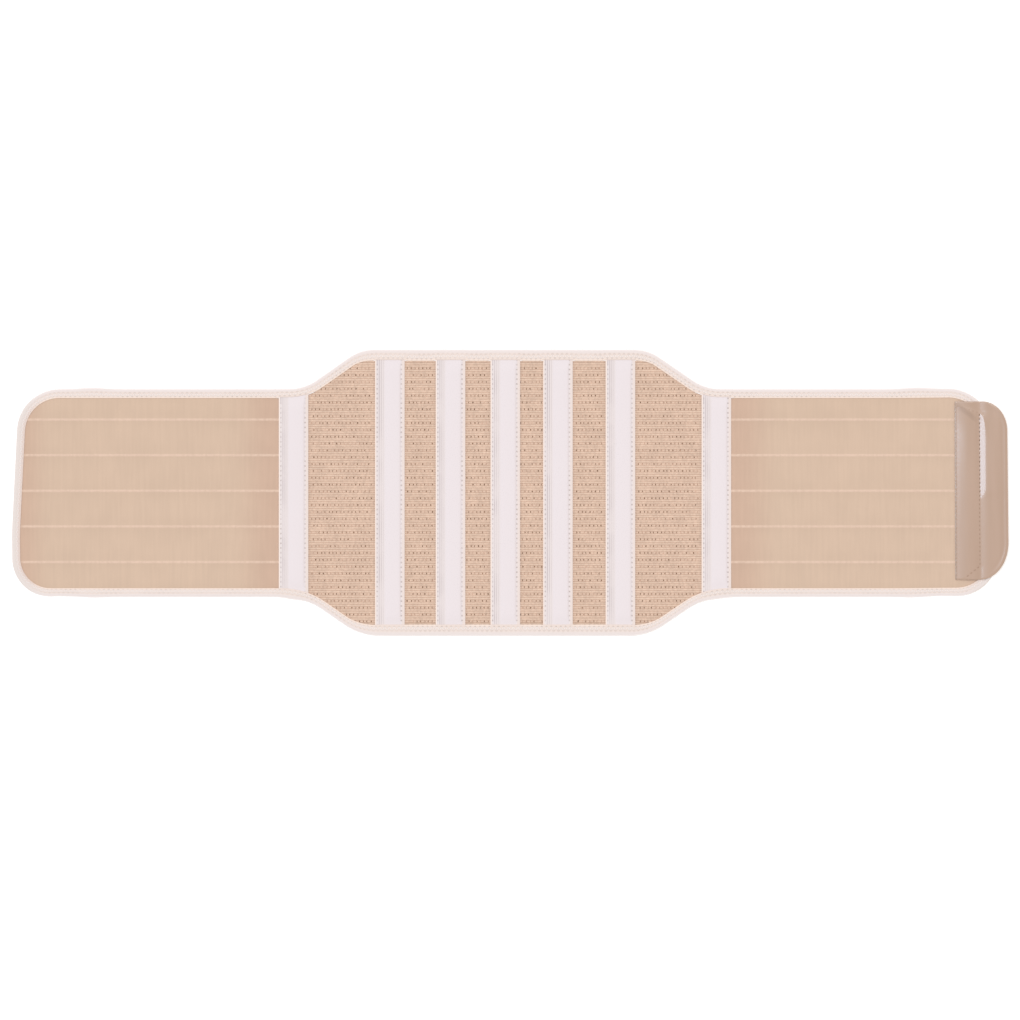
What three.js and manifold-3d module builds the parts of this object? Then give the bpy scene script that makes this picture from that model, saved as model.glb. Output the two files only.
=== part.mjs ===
// Lumbosacral brace laid flat, in millimetres.
// X runs along the belt, Y from its lower to its upper edge, Z up from the table it lies on.
import * as THREE from 'three';
import { mergeVertices } from 'three/addons/utils/BufferGeometryUtils.js';
import Module from 'manifold-3d';

const wasm = await Module();
wasm.setup();

// Plan of the belt
const backHeight = 250;
const backReach = { left: 125.9, right: 124.2 };
const wingHeight = 182;
const wingRoot = { left: 175, right: 174.5 };
const endReachTop = { left: 423.2, right: 421.4 };
const endReachLow = { left: 432.2, right: 432.2 };
const endRise = { left: 0, right: 0.8 };
const bendReach = 340;
const bendRound = 100;
const shoulderRound = { top: 40, low: 56 };
const rootRound = { top: 42, low: 60 };
const endRound = { top: 35, low: 37.5 };
const roundSteps = 4;

// Cloth and tape thicknesses
const fabric = 2.4;
const edgeFabric = 1;
const tape = 0.7;
const gap = 0.3;
const foldHeight = 2 * (tape + gap) + edgeFabric;
const foldRound = 1;
const foldSteps = 2;
const tapeWidth = { back: 10.4, slopeTop: 8.4, slopeLow: 7.2, wing: 8.1, end: 6.5 };

// Stay casings, from the left to the right
const casingWidth = 25.9;
const casingCentres = [-184, -100.2, -47.4, 0.3, 46.1, 100.5, 184];
const casingEndTaper = 9;
const casingSteps = 3;
const marginHeight = 0.8;
const crownHeight = 1.7;
const crownTop = 1.8;

// Raised lines of the wings
const lineCount = 5;
const linePitch = 31;
const lineMiddle = 1.5;
const lineWidth = 2.4;
const lineHeight = 0.4;
const lineRoot = 0.5;
const lineEnd = 0.6;

// Closure tab on the right end
const tabStart = 391.35;
const tabLength = 46.95;
const sewnSlant = 0.75;
const freeSlant = 1.6;
const tabTop = 79.3;
const tabLow = -75.8;
const tabRoundTop = 23.5;
const tabRoundLow = 28.5;
const tabRoundSewn = 2;

const halfBack = backHeight / 2;
const halfWing = wingHeight / 2;
const seamX = casingCentres[casingCentres.length - 1];
const tall = 20;
const far = 1000;

// Corners of one half, drawn on the right, clockwise from the shoulder; next names the edge after the corner
function halfCorners(side) {
  return [
    { x: backReach[side], y: halfBack, round: shoulderRound.top, next: 'slopeTop' },
    { x: wingRoot[side], y: halfWing, round: rootRound.top, next: 'wing' },
    ...bend(side, halfWing),
    { x: endReachTop[side], y: halfWing + endRise[side], round: endRound.top, next: 'end' },
    { x: endReachLow[side], y: -halfWing + endRise[side], round: endRound.low, next: 'wing' },
    ...bend(side, -halfWing),
    { x: wingRoot[side], y: -halfWing, round: rootRound.low, next: 'slopeLow' },
    { x: backReach[side], y: -halfBack, round: shoulderRound.low, next: 'back' },
  ];
}

// Where a wing whose end lies a little higher leaves the belt's straight edge
function bend(side, y) {
  return endRise[side] > 0 ? [{ x: bendReach, y, round: bendRound, next: 'wing' }] : [];
}

// Height over the casing's underside across its width: sewn margin, stay, sewn margin
const casingSection = [
  { across: 0, height: 0.5 },
  { across: 0.8, height: marginHeight },
  { across: 7.4, height: marginHeight },
  { across: 8.4, height: 1.15 },
  { across: 9.6, height: 1.5 },
  { across: 11.4, height: crownHeight },
  { across: 14.9, height: crownTop },
  { across: 18.4, height: crownHeight },
  { across: 20.2, height: 1.5 },
  { across: 21.3, height: 1.15 },
  { across: 22.2, height: marginHeight },
  { across: 24.9, height: marginHeight },
  { across: casingWidth, height: 0.5 },
];

// Undersides and tops along the tab, from its sewn edge, over the seam and the roll, to its free edge
const tabSection = [
  { along: 0, under: 2.7, top: 3.5 },
  { along: 1.2, under: 2.7, top: 3.7 },
  { along: 4.4, under: 2.7, top: 4 },
  { along: 8, under: 2.9, top: 4.2 },
  { along: 11, under: 3.3, top: 4.3 },
  { along: 19.3, under: 3.3, top: 4.3 },
  { along: 21.6, under: 3.3, top: 4.1 },
  { along: 22.6, under: 3.4, top: 4.4 },
  { along: 25.2, under: 3.6, top: 5 },
  { along: 27.8, under: 3.8, top: 5.3 },
  { along: 30.7, under: 3.8, top: 5.4 },
  { along: 35, under: 3.5, top: 5.3 },
  { along: 39.5, under: 3.3, top: 5.1 },
  { along: 45.6, under: 3.3, top: 4.9 },
  { along: tabLength, under: 3.3, top: 4.2 },
];

function mirrored(corners) {
  const last = corners.length - 1;
  const left = corners.map((corner, i) => {
    const before = corners[i === 0 ? last : i - 1];
    return { ...corner, x: -corner.x, next: before.next };
  });
  return left.reverse();
}

function direction(from, to) {
  return new THREE.Vector2(to.x - from.x, to.y - from.y).normalize();
}

function rightOf(v) {
  return new THREE.Vector2(v.y, -v.x);
}

// Moves every edge of a clockwise outline inwards by the distance for its name
function inset(corners, distanceOf) {
  const count = corners.length;
  return corners.map((corner, i) => {
    const before = corners[(i + count - 1) % count];
    const after = corners[(i + 1) % count];
    const into = direction(before, corner);
    const out = direction(corner, after);
    const turn = into.cross(out);
    const moveIn = distanceOf(before.next);
    const moveOut = distanceOf(corner.next);
    const start = rightOf(into).multiplyScalar(moveIn);
    const end = rightOf(out).multiplyScalar(moveOut);
    const along = end.clone().sub(start).cross(out) / turn;
    const moved = into.clone().multiplyScalar(along).add(start);
    const change = (moveIn + moveOut) / 2;
    const round = turn < 0 ? corner.round - change : corner.round + change;
    return { ...corner, x: corner.x + moved.x, y: corner.y + moved.y, round };
  });
}

// Turns corners into a closed outline of straight edges and tangent arcs
function outline(corners) {
  const shape = new THREE.Shape();
  const count = corners.length;
  corners.forEach((corner, i) => {
    const before = corners[(i + count - 1) % count];
    const after = corners[(i + 1) % count];
    const into = direction(before, corner);
    const out = direction(corner, after);
    const turn = into.cross(out);
    const reach = corner.round * Math.tan(Math.acos(into.dot(out)) / 2);
    const side = turn < 0 ? 1 : -1;
    const start = new THREE.Vector2(corner.x, corner.y).addScaledVector(into, -reach);
    const centre = start.clone().addScaledVector(rightOf(into), side * corner.round);
    const end = new THREE.Vector2(corner.x, corner.y).addScaledVector(out, reach);
    const from = Math.atan2(start.y - centre.y, start.x - centre.x);
    const to = Math.atan2(end.y - centre.y, end.x - centre.x);
    if (i === 0) {
      shape.moveTo(start.x, start.y);
    } else {
      shape.lineTo(start.x, start.y);
    }
    shape.absarc(centre.x, centre.y, corner.round, from, to, turn < 0);
  });
  shape.closePath();
  return shape;
}

function raised(shape, low, high) {
  const flat = { depth: high - low, bevelEnabled: false, curveSegments: roundSteps };
  return new THREE.ExtrudeGeometry(shape, flat).translate(0, 0, low);
}

// A plate whose upper and lower edges are rounded off inwards
function rounded(shape, low, high, size, thickness, steps) {
  const options = {
    depth: high - low - 2 * thickness,
    bevelSize: size,
    bevelOffset: -size,
    bevelThickness: thickness,
    bevelSegments: steps,
    curveSegments: roundSteps,
  };
  return new THREE.ExtrudeGeometry(shape, options).translate(0, 0, low + thickness);
}

function section(points) {
  return new THREE.Shape(points.map((p) => new THREE.Vector2(p[0], p[1])));
}

// Runs a section drawn in X and Z along Y, between two values of Y
function alongY(shape, from, to) {
  const run = new THREE.ExtrudeGeometry(shape, { depth: to - from, bevelEnabled: false });
  return run.rotateX(Math.PI / 2).translate(0, to, 0);
}

// Runs a section drawn in Y and Z along X, between two values of X
function alongX(shape, from, to) {
  const run = new THREE.ExtrudeGeometry(shape, { depth: to - from, bevelEnabled: false });
  return run.rotateX(Math.PI / 2).rotateZ(Math.PI / 2).translate(from, 0, 0);
}

function solid(geometry) {
  const bare = new THREE.BufferGeometry();
  bare.setAttribute('position', geometry.getAttribute('position'));
  if (geometry.index) {
    bare.setIndex(geometry.index);
  }
  const merged = mergeVertices(bare);
  const vertProperties = new Float32Array(merged.getAttribute('position').array);
  const triVerts = new Uint32Array(merged.index.array);
  return new wasm.Manifold(new wasm.Mesh({ numProp: 3, vertProperties, triVerts }));
}

function block(fromX, toX) {
  const size = toX - fromX;
  return solid(new THREE.BoxGeometry(size, far, tall).translate(fromX + size / 2, 0, 0));
}

const group = new THREE.Group();

function addNode(name, shape, color, roughness) {
  const mesh = shape.getMesh();
  const geometry = new THREE.BufferGeometry();
  geometry.setAttribute('position', new THREE.BufferAttribute(mesh.vertProperties, mesh.numProp));
  geometry.setIndex(new THREE.BufferAttribute(mesh.triVerts, 1));
  geometry.computeVertexNormals();
  const material = new THREE.MeshStandardMaterial({ color, roughness, metalness: 0 });
  const node = new THREE.Mesh(geometry, material);
  node.name = name;
  group.add(node);
}

const corners = [...halfCorners('right'), ...mirrored(halfCorners('left'))];
const channelShape = outline(inset(corners, () => tape));
const edgeShape = outline(inset(corners, () => tape + gap));
const windowShape = outline(inset(corners, (name) => tapeWidth[name]));
const bodyShape = outline(inset(corners, (name) => tapeWidth[name] + gap));
const lineShape = outline(inset(corners, (name) => tapeWidth[name] + gap + lineEnd));

// Binding: a tape folded round the edge, open towards the cloth
const folded = solid(rounded(outline(corners), 0, foldHeight, foldRound, foldRound, foldSteps));
const channel = solid(raised(channelShape, tape, foldHeight - tape));
const window = solid(raised(windowShape, -tall, tall));
const binding = folded.subtract(channel).subtract(window);

// Cloth: the full thickness inside the binding, pressed thinner where the binding grips it
const edgeLow = tape + gap;
const body = solid(raised(bodyShape, 0, fabric));
const cloth = body.add(solid(raised(edgeShape, edgeLow, edgeLow + edgeFabric)));
const backPanel = cloth.intersect(block(-seamX + gap / 2, seamX - gap / 2));

// Raised lines along a wing, between the casing on its seam and its end
const lineSection = new THREE.Shape();
lineSection.moveTo(lineWidth / 2, -lineRoot);
lineSection.lineTo(lineWidth / 2, 0);
lineSection.absellipse(0, 0, lineWidth / 2, lineHeight, 0, Math.PI, false);
lineSection.lineTo(-lineWidth / 2, -lineRoot);
lineSection.closePath();

function withLines(wing, fromX, toX) {
  let lined = wing;
  const inside = solid(raised(lineShape, 0, tall));
  for (let i = 0; i < lineCount; i += 1) {
    const y = lineMiddle + (i - (lineCount - 1) / 2) * linePitch;
    const line = solid(alongX(lineSection, fromX, toX).translate(0, y, fabric));
    lined = lined.add(line.intersect(inside));
  }
  return lined;
}

const casingEdge = seamX + casingWidth / 2 + gap;
const leftCloth = cloth.intersect(block(-far, -seamX - gap / 2));
const rightCloth = cloth.intersect(block(seamX + gap / 2, far));
const wingLeft = withLines(leftCloth, -far, -casingEdge);
const wingRight = withLines(rightCloth, casingEdge, tabStart - gap);

// Casings: trimmed by the binding and thinned towards it
const casingLow = fabric + gap;
const casingPoints = casingSection.map((row) => [row.across - casingWidth / 2, row.height]);
casingPoints.push([casingWidth / 2, 0], [-casingWidth / 2, 0]);
const casingShape = section(casingPoints);
const casingRise = crownTop - marginHeight;
const domeTop = casingLow + crownTop;
const domeLow = -domeTop;
const dome = solid(rounded(bodyShape, domeLow, domeTop, casingEndTaper, casingRise, casingSteps));

// Tab: its plan and its side view meet in one rounded piece
const tabEnd = tabStart + tabLength;
const tabPlan = [
  { x: tabEnd - freeSlant, y: tabTop, round: tabRoundTop },
  { x: tabEnd, y: tabLow, round: tabRoundLow },
  { x: tabStart + sewnSlant, y: tabLow, round: tabRoundSewn },
  { x: tabStart, y: tabTop, round: tabRoundSewn },
];
const tabTops = tabSection.map((row) => [tabStart + row.along, row.top]);
const tabUnders = tabSection.map((row) => [tabStart + row.along, row.under]);
const tabSide = section([...tabTops, ...tabUnders.reverse()]);
const tab = solid(raised(outline(tabPlan), 0, tall)).intersect(solid(alongY(tabSide, -far, far)));

addNode('back_panel', backPanel, 0xd9bba6, 0.9);
addNode('wing_left', wingLeft, 0xdabfa9, 0.9);
addNode('wing_right', wingRight, 0xdabfa9, 0.9);
addNode('edge_binding', binding, 0xf1e3dc, 0.85);
casingCentres.forEach((x, i) => {
  const casing = solid(alongY(casingShape, -halfBack, halfBack).translate(x, 0, casingLow));
  addNode(`stay_casing_${i + 1}`, casing.intersect(dome), 0xefe6e8, 0.8);
});
addNode('closure_tab', tab, 0xc4a895, 0.35);

export default group;
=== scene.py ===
import functools
import math
import bpy
import numpy as np
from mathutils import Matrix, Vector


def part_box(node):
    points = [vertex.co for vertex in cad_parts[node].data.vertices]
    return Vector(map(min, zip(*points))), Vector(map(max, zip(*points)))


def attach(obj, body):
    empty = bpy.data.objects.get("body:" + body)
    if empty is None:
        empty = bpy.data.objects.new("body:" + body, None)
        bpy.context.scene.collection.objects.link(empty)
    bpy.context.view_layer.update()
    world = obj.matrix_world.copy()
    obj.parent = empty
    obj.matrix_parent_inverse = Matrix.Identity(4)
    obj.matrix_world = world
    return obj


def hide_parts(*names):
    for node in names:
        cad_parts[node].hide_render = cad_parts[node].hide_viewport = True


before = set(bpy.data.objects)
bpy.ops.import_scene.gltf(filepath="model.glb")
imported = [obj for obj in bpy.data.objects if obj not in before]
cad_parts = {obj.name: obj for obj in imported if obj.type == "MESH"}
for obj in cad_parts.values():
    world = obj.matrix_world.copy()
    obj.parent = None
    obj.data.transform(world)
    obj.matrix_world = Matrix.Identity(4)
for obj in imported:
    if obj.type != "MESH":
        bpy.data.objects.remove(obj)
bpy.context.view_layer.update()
mm = 0.001
root = "root"


# Camera straight above the table, as the brace was photographed
cameraSet = {
    "lens": 135,            # long lens, so the flat brace shows no perspective
    "sensor": 36,
    "frameWidth": 888.5 * mm,   # width of table that fills the picture
    "middle": (4.36 * mm, -15.15 * mm),
}


def makeCamera(c):
    height = c["frameWidth"] / 2 * c["lens"] / (c["sensor"] / 2)
    bpy.ops.object.camera_add(location=(*c["middle"], height), rotation=(0, 0, 0))
    camera = bpy.context.object
    camera.data.lens = c["lens"]
    camera.data.sensor_width = c["sensor"]
    camera.data.clip_end = 100
    bpy.context.scene.camera = camera


makeCamera(cameraSet)
print("camera set")


# Small helpers for picking, shading and finishing a piece

def pick(*pieces):
    bpy.ops.object.select_all(action="DESELECT")
    for piece in pieces:
        piece.select_set(True)
    bpy.context.view_layer.objects.active = pieces[-1]


def coordsOf(piece):
    coords = np.empty(len(piece.data.vertices) * 3)
    piece.data.vertices.foreach_get("co", coords)
    return coords.reshape(-1, 3)


def placeCoords(piece, coords):
    piece.data.vertices.foreach_set("co", np.ascontiguousarray(coords).ravel())
    piece.data.update()


def applyModifier(piece, kind, **settings):
    modifier = piece.modifiers.new(kind.lower(), kind)
    for name, value in settings.items():
        setattr(modifier, name, value)
    pick(piece)
    bpy.ops.object.modifier_apply(modifier=modifier.name)


def addGrid(name, columns, rows):
    bpy.ops.object.select_all(action="DESELECT")
    bpy.ops.mesh.primitive_grid_add(x_subdivisions=columns, y_subdivisions=rows, size=1)
    piece = bpy.context.object
    piece.name = name
    piece.data.name = name
    return piece


def setUv(piece, uvOfVertex):       # one UV pair for each vertex, in metres of cloth
    loops = np.empty(len(piece.data.loops), dtype=np.int32)
    piece.data.loops.foreach_get("vertex_index", loops)
    layer = piece.data.uv_layers.active
    layer.name = "cloth"
    layer.data.foreach_set("uv", np.ascontiguousarray(uvOfVertex[loops]).ravel())


def turnOut(piece):                 # faces of a closed piece point outwards
    pick(piece)
    bpy.ops.object.mode_set(mode="EDIT")
    bpy.ops.mesh.select_all(action="SELECT")
    bpy.ops.mesh.normals_make_consistent(inside=False)
    bpy.ops.object.mode_set(mode="OBJECT")


def closeBelow(piece, low):         # pulls the rim down to a flat underside and fills it
    pick(piece)
    bpy.ops.object.mode_set(mode="EDIT")
    bpy.ops.mesh.select_mode(type="EDGE")
    bpy.ops.mesh.select_all(action="SELECT")
    bpy.ops.mesh.region_to_loop()
    bpy.ops.mesh.extrude_edges_move()
    bpy.ops.transform.resize(value=(1, 1, 0), center_override=(0, 0, low))
    bpy.ops.mesh.edge_face_add()
    bpy.ops.object.mode_set(mode="OBJECT")
    turnOut(piece)


def smooth(piece, degrees):
    pick(piece)
    bpy.ops.object.shade_smooth_by_angle(angle=math.radians(degrees))


def finishPiece(piece, material, node=None):
    piece.data.materials.clear()
    piece.data.materials.append(material)
    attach(piece, root)
    if node:
        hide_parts(node)


def ease(low, high, value):
    t = np.clip((value - low) / (high - low), 0, 1)
    return t * t * (3 - 2 * t)


# Material helpers

def hexColour(code):
    parts = [int(code[i:i + 2], 16) / 255 for i in (1, 3, 5)]
    linear = [p / 12.92 if p <= 0.04045 else ((p + 0.055) / 1.055) ** 2.4 for p in parts]
    return (*linear, 1)


def plug(value, socket):            # a node's first output, a socket or a plain value, into a socket
    if isinstance(value, bpy.types.Node):
        value = next(out for out in value.outputs if out.enabled)
    if isinstance(value, bpy.types.NodeSocket):
        socket.id_data.links.new(value, socket)
    elif value is not None:
        socket.default_value = value


def addNode(tree, kind, *inputs, **settings):       # inputs in the order of its sockets, None to leave one
    node = tree.nodes.new("ShaderNode" + kind)
    for name, value in settings.items():
        setattr(node, name, value)
    for value, socket in zip(inputs, [s for s in node.inputs if s.enabled]):
        plug(value, socket)
    return node


def newMaterial(name, look):        # look: a piece's colours, and its finish as the shader's even values
    material = bpy.data.materials.new(name)
    material.use_nodes = True
    tree = material.node_tree
    sockets = tree.nodes["Principled BSDF"].inputs
    for socket, value in look["finish"].items():
        plug(value, sockets[socket])
    tint = {part: hexColour(code) for part, code in look["colours"].items()}
    return material, functools.partial(addNode, tree), sockets, tint


# Node settings that every material needs
times = {"operation": "MULTIPLY"}
timesPlus = {"operation": "MULTIPLY_ADD"}
plus = {"operation": "ADD"}
minus = {"operation": "SUBTRACT"}
dividedBy = {"operation": "DIVIDE"}
least = {"operation": "MINIMUM"}
most = {"operation": "MAXIMUM"}
absolute = {"operation": "ABSOLUTE"}
soft = {"interpolation_type": "SMOOTHSTEP"}
blend = {"data_type": "RGBA"}
noiseSpan = (0.3, 0.7)              # where most of a noise's values lie


def product(add, first, *factors):  # patterns multiplied together
    for factor in factors:
        first = add("Math", first, factor, **times)
    return first


def layered(add, tone, *coats):     # colours laid over a first one, each with its share
    for share, colour in coats:
        tone = add("Mix", share, tone, colour, **blend)
    return tone


def ripple(add, value, pitch, shift=0.0):       # 0 to 1 and back once for each pitch
    turned = add("Math", add("Math", value, shift, **plus), 2 * math.pi / pitch, **times)
    return add("Math", add("Math", turned, operation="COSINE"), 0.5, 0.5, **timesPlus)


def fromLine(add, value, at, pitch):            # share of a pitch from the nearest of evenly spaced lines
    steps = add("Math", add("Math", value, at, **minus), pitch, **dividedBy)
    past = add("Math", add("Math", steps, 0.5, **plus), operation="FRACT")
    return add("Math", add("Math", past, 0.5, **minus), **absolute)


# Outline of the belt, seen from above: corners of a half, clockwise from the shoulder
beltPlan = {
    "backReach": {"left": 125.9 * mm, "right": 124.2 * mm},
    "backHalf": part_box("edge_binding")[1].y,
    "wingRoot": {"left": 175 * mm, "right": 174.5 * mm},
    "wingHalf": 91 * mm,
    "wingDrop": 0.42 * mm,                  # the wings' upper edge lies a little lower
    "endTop": {"left": 423.2 * mm, "right": 421.4 * mm},
    "endLow": {"left": 428.6 * mm, "right": 432.2 * mm},
    "endBulge": {"left": [(429.45 * mm, -36 * mm, 300 * mm, "end")], "right": []},   # widest place of the end
    "endRise": {"left": 0, "right": 0.8 * mm},      # the right end lies a little higher
    "bend": (340 * mm, 100 * mm),           # where it leaves the straight edge, and how gently
    "shoulderRound": {"top": 40 * mm, "low": 56 * mm},
    "rootRound": {"top": 42 * mm, "low": 60 * mm},
    "endRound": {"left": (38 * mm, 34 * mm), "right": (38.2 * mm, 37.5 * mm)},
    "arcSteps": 48,
    "level": 0.3,           # an edge that faces up or down by more than this is an upper or a lower one
    "tape": {"backTop": 10.4 * mm, "backLow": 10.15 * mm, "slopeTop": 8.4 * mm, "slopeLow": 7.2 * mm,
             "wingTop": 8.35 * mm, "wingLow": 7.75 * mm, "end": 7.25 * mm},
    "bulges": [         # where the sewn edge waves: x, upper or lower edge, how far out, reach
        (-359 * mm, 1, 1.2 * mm, 14 * mm), (358 * mm, 1, 1.2 * mm, 14 * mm),
        (-358 * mm, -1, 0.5 * mm, 12 * mm), (354 * mm, -1, 0.55 * mm, 12 * mm),
        (-386 * mm, -1, -0.6 * mm, 16 * mm), (382 * mm, -1, -0.5 * mm, 16 * mm),
        (-185 * mm, -1, 1.5 * mm, 10 * mm), (185 * mm, -1, 1.2 * mm, 11 * mm),
    ],
}


def halfCorners(p, side):
    rise = p["endRise"][side]
    top, low = p["wingHalf"] - p["wingDrop"], -p["wingHalf"]
    bendX, bendRound = p["bend"]
    edges = ((top, "wingTop"), (low, "wingLow"))
    bends = [[(bendX, y, bendRound, tape)] if rise else [] for y, tape in edges]
    return [
        (p["backReach"][side], p["backHalf"], p["shoulderRound"]["top"], "slopeTop"),
        (p["wingRoot"][side], top, p["rootRound"]["top"], "wingTop"),
        *bends[0],
        (p["endTop"][side], top + rise, p["endRound"][side][0], "end"),
        *p["endBulge"][side],
        (p["endLow"][side], low + rise, p["endRound"][side][1], "wingLow"),
        *bends[1],
        (p["wingRoot"][side], low, p["rootRound"]["low"], "slopeLow"),
        (p["backReach"][side], -p["backHalf"], p["shoulderRound"]["low"], "backLow"),
    ]


def beltCorners(p):
    drawn = halfCorners(p, "left")
    left = [(-x, y, r, drawn[i - 1][3] if i else "backTop") for i, (x, y, r, _) in enumerate(drawn)]
    return halfCorners(p, "right") + left[::-1]


def beltEdge(p, pitch, perPitch):   # evenly spaced stations round the edge
    corners = beltCorners(p)
    spots, widths = [], []
    for i, (x, y, radius, after) in enumerate(corners):
        here = np.array([x, y])
        into = here - np.array(corners[i - 1][:2])
        out = np.array(corners[(i + 1) % len(corners)][:2]) - here
        into /= np.linalg.norm(into)
        out /= np.linalg.norm(out)
        side = 1 if into[0] * out[1] - into[1] * out[0] < 0 else -1
        angle = math.acos(into @ out)
        start = here - into * radius * math.tan(angle / 2)
        centre = start + side * radius * np.array([into[1], -into[0]])
        spoke = start - centre
        before = corners[i - 1][3]
        for t in np.linspace(0, 1, p["arcSteps"]):
            c, s = math.cos(-side * angle * t), math.sin(-side * angle * t)
            spots.append(centre + np.array([c * spoke[0] - s * spoke[1], s * spoke[0] + c * spoke[1]]))
            widths.append((1 - t) * p["tape"][before] + t * p["tape"][after])
    spots = np.array(spots + spots[:1])
    widths = np.array(widths + widths[:1])
    run = np.concatenate([[0], np.cumsum(np.linalg.norm(np.diff(spots, axis=0), axis=1))])
    count = round(run[-1] / pitch) * perPitch
    along = np.arange(count) * run[-1] / count
    spot = np.stack([np.interp(along, run, spots[:, k]) for k in (0, 1)], axis=1)
    ahead = np.roll(spot, -1, axis=0) - np.roll(spot, 1, axis=0)
    ahead /= np.linalg.norm(ahead, axis=1)[:, None]
    inward = np.stack([ahead[:, 1], -ahead[:, 0]], axis=1)
    width = np.interp(along, run, widths)
    for x, side, out, reach in p["bulges"]:
        swell = out * np.exp(-((spot[:, 0] - x) / reach) ** 2) * (inward[:, 1] * side < 0)
        spot = spot - inward * swell[:, None]
        width = width + swell
    return {
        "length": run[-1],
        "count": count,
        "spot": spot,
        "inward": inward,
        "width": width,
    }


zigzag = {
    "pitch": 4.14 * mm,
    "perPitch": 4,              # stations in a pitch: outer needle at 0, inner at 2
    "outerRow": 0.5,            # shares of the tape's width
    "innerRow": 0.81,
    "lifts": {"outerRow": 0.4, "innerRow": 0.9},        # shares of the lift over a casing
    "faceZ": 3.06 * mm,
    "backZ": 0.16 * mm,
}
edge = beltEdge(beltPlan, zigzag["pitch"], zigzag["perPitch"])


def tapeLine(share):                # line round the belt, a share of the tape's width in
    return edge["spot"] + edge["inward"] * (edge["width"] * share)[:, None]


def edgeAt(x, top, share):          # that line's Y at x
    line = tapeLine(share)
    half = edge["inward"][:, 1] * (-1 if top else 1) > beltPlan["level"]
    order = np.argsort(line[half, 0])
    return np.interp(x, line[half, 0][order], line[half, 1][order])


def makeCutter(share, half):        # upright block inside the belt's edge, to trim cloth to
    bpy.ops.object.select_all(action="DESELECT")
    bpy.ops.mesh.primitive_circle_add(vertices=edge["count"], fill_type="NGON")
    block = bpy.context.object
    line = tapeLine(share)
    placeCoords(block, np.column_stack([line[::-1], np.full(len(line), -half)]))
    bpy.ops.object.mode_set(mode="EDIT")
    bpy.ops.mesh.select_all(action="SELECT")
    bpy.ops.mesh.extrude_region_move(TRANSFORM_OT_translate={"value": (0, 0, 2 * half)})
    bpy.ops.object.mode_set(mode="OBJECT")
    turnOut(block)
    return block


layers = {
    "under": 0.8 * mm,      # cloth's underside, above the binding's lower leg
    "face": 2.4 * mm,       # cloth's upper face
    "trim": 0.4,            # share of the tape's width, in from the fold, that the cloth reaches to
    "seamHalf": 0.15 * mm,  # half the gap between the panel and a wing, under a casing
}
cutter = makeCutter(layers["trim"], 20 * mm)
casingNodes = [f"stay_casing_{i + 1}" for i in range(7)]
casingSpans = [[corner.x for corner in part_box(node)] for node in casingNodes]
seams = [(low + high) / 2 for low, high in (casingSpans[0], casingSpans[-1])]


def besideCasing(add, x, reach):        # distance out from the nearest casing's edge, at most reach
    beside = reach
    for low, high in casingSpans:
        away = add("Math", add("Math", x, (low + high) / 2, **minus), **absolute)
        beside = add("Math", beside, add("Math", away, (high - low) / 2, **minus), **least)
    return beside


print("belt edge", round(edge["length"], 3), "m,", edge["count"], "stations")


# Back panel: ribbed knit with staggered rows of small holes, one repeat copied over the gaps
knit = {
    "holePitch": 3.32 * mm,
    "rowPitch": 5.954 * mm,
    "holeRowAt": 1.02 * mm,      # height of one row of holes above the middle
    "columns": [-0.55 * mm, 0.55 * mm, 1.11 * mm, 2.21 * mm, 2.77 * mm],
    "ribShares": [0, 1 / 6, 1 / 3, 1 / 2, 2 / 3, 5 / 6],
    "ribHeights": [-0.12 * mm, 0.15 * mm, -0.12 * mm, 0.15 * mm, -0.12 * mm, 0.13 * mm],
    "holeReach": (0.3 * mm, 0.6 * mm),      # faces this near to a hole's middle are sunk
    "holeInset": 0.07 * mm,
    "holeEnd": (0.5 * mm, 0.9 * mm),        # half width, and how far its ends lie from its middle
    "holePinch": (0.55, 0.85),      # narrows a hole towards its upper and lower end
    "holeDepth": 0.8 * mm,
    "depths": {"spread": (0.6, 0.42), "limits": (0.15, 1.1)},
    "floor": 0.5 * mm,              # what lies deeper than this is a hole's floor
    "apart": 1.2 * mm,              # a wider gap parts two holes
    "pull": 0.42 * mm,
    "pullHalf": 0.7 * mm,           # half height of the strip that is pulled about
    "pullWaves": [(9.1 * mm, 1), (5.7 * mm, 0.6)],      # length and share
    "seed": 11,
    "holesAcross": [16, 7, 6, 6, 7, 16],    # from the left gap to the right one
    "repeats": 20,
    "showsTo": 114.4 * mm,          # half height that the binding leaves free
    "shadowBeside": [(0.1 * mm, 0.7 * mm), (2.2 * mm, 1.2 * mm)],      # painted shadow beside a casing and under the binding's edge: from, and until
    "lowBindingShadow": (-113 * mm, -114.2 * mm),       # painted shadow along the lower binding
    "barReach": (0.15, 0.08),       # share of a row's pitch
    "ribReach": (-0.1 * mm, 0.14 * mm),     # over the face
    "holeShade": (-0.15 * mm, -0.6 * mm),
    "backReach": (0.1 * mm, 0.3 * mm),      # over the underside
    "backRelief": (-2.0, 2.0),              # ribs drawn on the underside only
    "grain": {"yarn": 1.7 * mm, "patch": 14 * mm, "fuzz": 0.7 * mm},
    "shades": {"yarn": (0.91, 1.08), "patch": (0.97, 1.03), "lowBindingShadow": (1.0, 0.89)},
    "loopShade": (0.06, 0.97),      # times the pattern, plus
    "shadowBesideDepth": (-0.075, 1.0),
    "bump": (0.5, 0.12 * mm),       # strength and height
    # hole is painted shade down in the holes
    "colours": {"rib": "#E5C9B4", "valleyShade": "#D0AF9A", "bar": "#E0C2AD", "hole": "#B39279"},
    "finish": {"Roughness": 0.9, "Specular IOR Level": 0.2, "Sheen Weight": 0.15, "Sheen Roughness": 0.5},
}


def knitRows(k):
    half = [share * k["rowPitch"] for share in k["ribShares"]]
    rows = half + [k["rowPitch"] + r for r in half] + [2 * k["rowPitch"]]
    heights = k["ribHeights"] * 2 + k["ribHeights"][:1]
    return np.array(rows), np.array(heights)


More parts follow.
